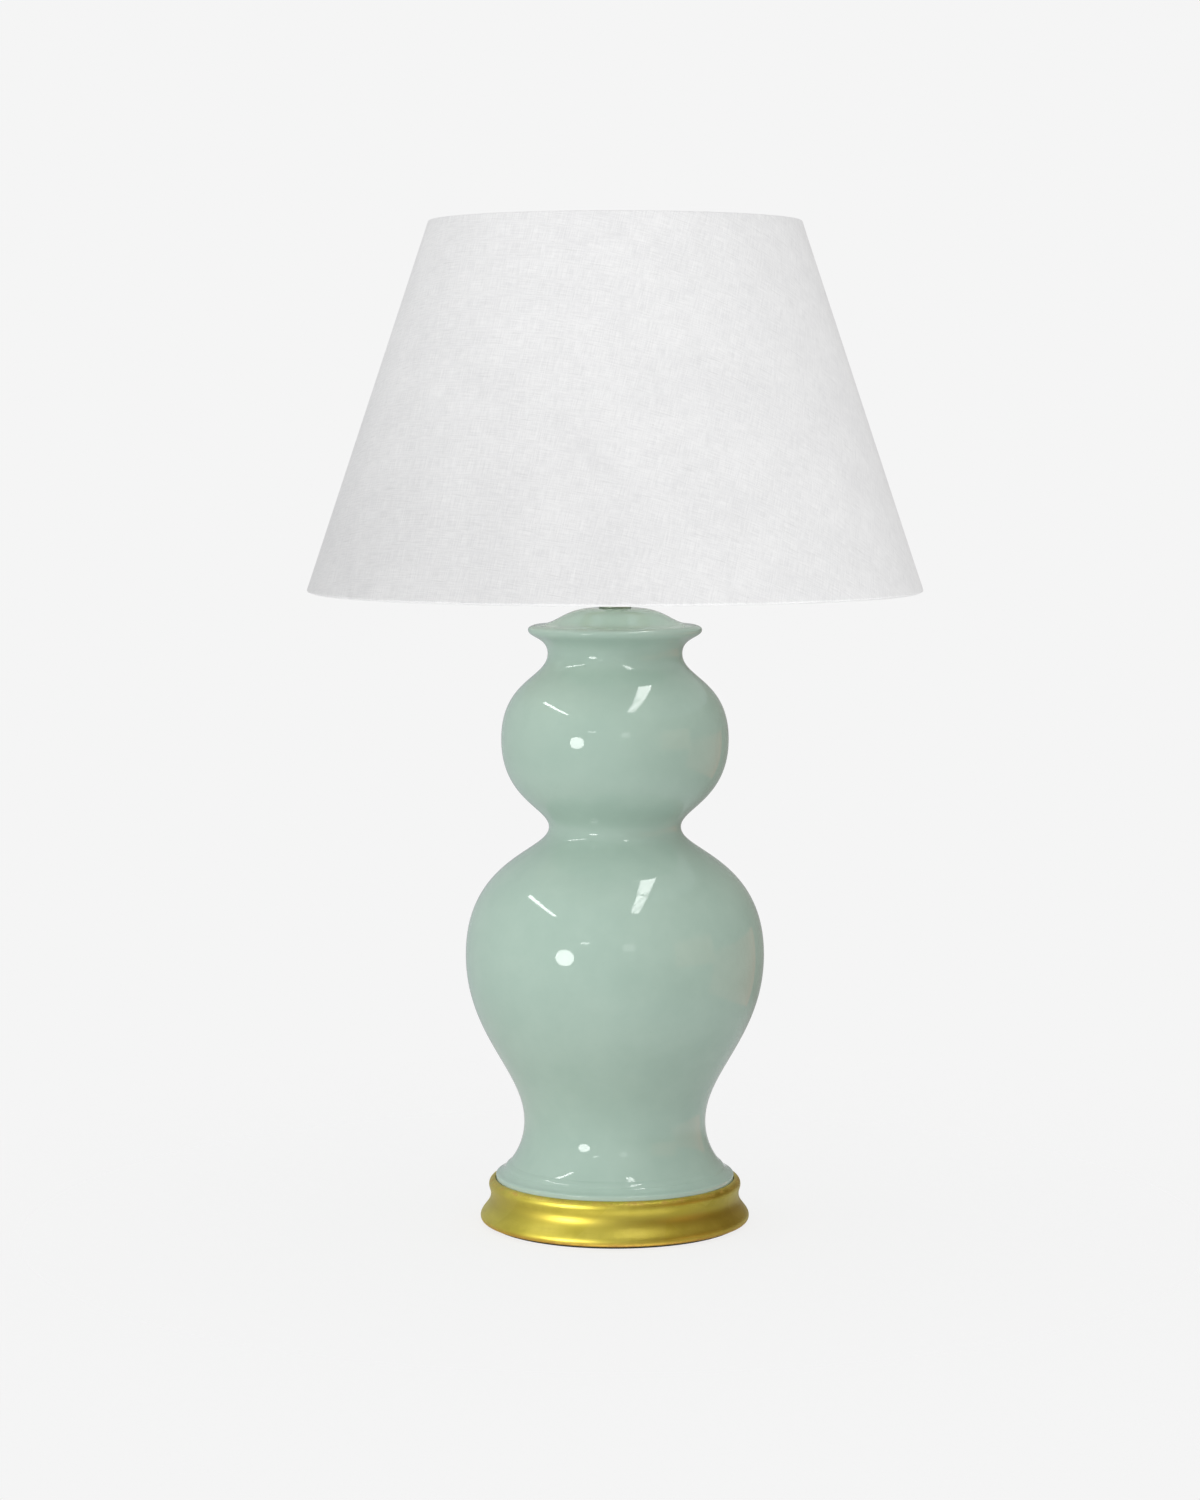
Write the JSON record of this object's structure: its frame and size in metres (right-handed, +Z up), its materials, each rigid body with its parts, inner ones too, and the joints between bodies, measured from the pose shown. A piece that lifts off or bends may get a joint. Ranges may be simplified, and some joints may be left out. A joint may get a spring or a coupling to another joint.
{
  "type": "table lamp",
  "caption": "Double gourd ceramic table lamp with a tapered fabric shade on a harp, a turned gilt base and a turn-key lampholder.",
  "frame": {"origin": "middle of the flat felt underside", "axes": "+Z up along the lamp's axis; -Y is the front, where the switch key is; +X is the front view's right; the lead inlet is at +Y"},
  "size_m": [0.4571, 0.4572, 0.748],
  "materials": {
    "gilt_wood": "gold leaf over turned wood, satin",
    "felt": "dark felt",
    "black_nylon": "moulded nylon",
    "cork": "cork and rubber sheet",
    "celadon_glaze": "grey-green glaze, high gloss",
    "zinc_steel": "zinc plated",
    "antique_brass": "satin brass",
    "brass_plate": "brass plated, polished",
    "paper_lining": "pressed board",
    "phenolic": "moulded phenolic",
    "terminal_brass": "bare brass",
    "black_phenolic": "moulded phenolic",
    "bulb_aluminium": "rolled thread",
    "black_glass": "fused insulator",
    "solder": "solder",
    "opal_glass": "white inside coat",
    "linen": "slubbed plain-weave linen",
    "styrene": "translucent white sheet",
    "white_wire": "white enamel"
  },
  "bodies": {
    "lamp_stand": {"turned_base": "gilt_wood", "base_felt": "felt", "lead_bushing": "black_nylon", "foot_gasket": "cork", "gourd_vase": "celadon_glaze", "vase_lid": "celadon_glaze", "threaded_pipe": "zinc_steel", "clamp_washer": "zinc_steel", "lock_washer": "zinc_steel", "bottom_nut": "zinc_steel", "seat_ring": "antique_brass", "neck_tube": "antique_brass", "harp_saddle": "brass_plate", "top_nut": "brass_plate", "socket_cap": "antique_brass", "set_screw": "zinc_steel", "socket_shell": "antique_brass", "socket_lining": "paper_lining", "socket_interior": "phenolic", "terminal_screws": "terminal_brass", "screw_shell": "terminal_brass", "centre_contact": "terminal_brass"},
    "switch_key": {"switch_stem": "brass_plate", "switch_key": "black_phenolic"},
    "bulb": {"bulb_cap": "bulb_aluminium", "bulb_insulator": "black_glass", "bulb_tip": "solder", "bulb_glass": "opal_glass"},
    "harp": {"harp_wire": "brass_plate", "harp_stud": "brass_plate"},
    "left_sleeve": {"locking_sleeve_left": "brass_plate"},
    "right_sleeve": {"locking_sleeve_right": "brass_plate"},
    "shade": {"shade_fabric": "linen", "shade_liner": "styrene", "bottom_ring": "white_wire", "shade_spider": "white_wire"},
    "finial": {"finial": "antique_brass"}
  },
  "joints": [
    {"name": "key_turn", "type": "hinge", "parent": "lamp_stand", "child": "switch_key", "pos_m": [0, -0.02, 0.5138], "axis": [0, -1, 0], "continuous": true},
    {"name": "bulb_turn", "type": "hinge", "parent": "lamp_stand", "child": "bulb", "pos_m": [0, 0, 0.54], "axis": [0, 0, 1], "continuous": true},
    {"name": "harp_lift", "type": "slide", "parent": "lamp_stand", "child": "harp", "axis": [0, 0, 1], "range_m": [0, 0.05]},
    {"name": "left_sleeve_lift", "type": "slide", "parent": "harp", "child": "left_sleeve", "axis": [0, 0, 1], "range_m": [0, 0.013]},
    {"name": "right_sleeve_lift", "type": "slide", "parent": "harp", "child": "right_sleeve", "axis": [0, 0, 1], "range_m": [0, 0.013]},
    {"name": "shade_swivel", "type": "hinge", "parent": "harp", "child": "shade", "pos_m": [0, 0, 0.725], "axis": [0, 0, 1], "continuous": true},
    {"name": "finial_turn", "type": "hinge", "parent": "harp", "child": "finial", "pos_m": [0, 0, 0.732], "axis": [0, 0, 1], "continuous": true}
  ]
}
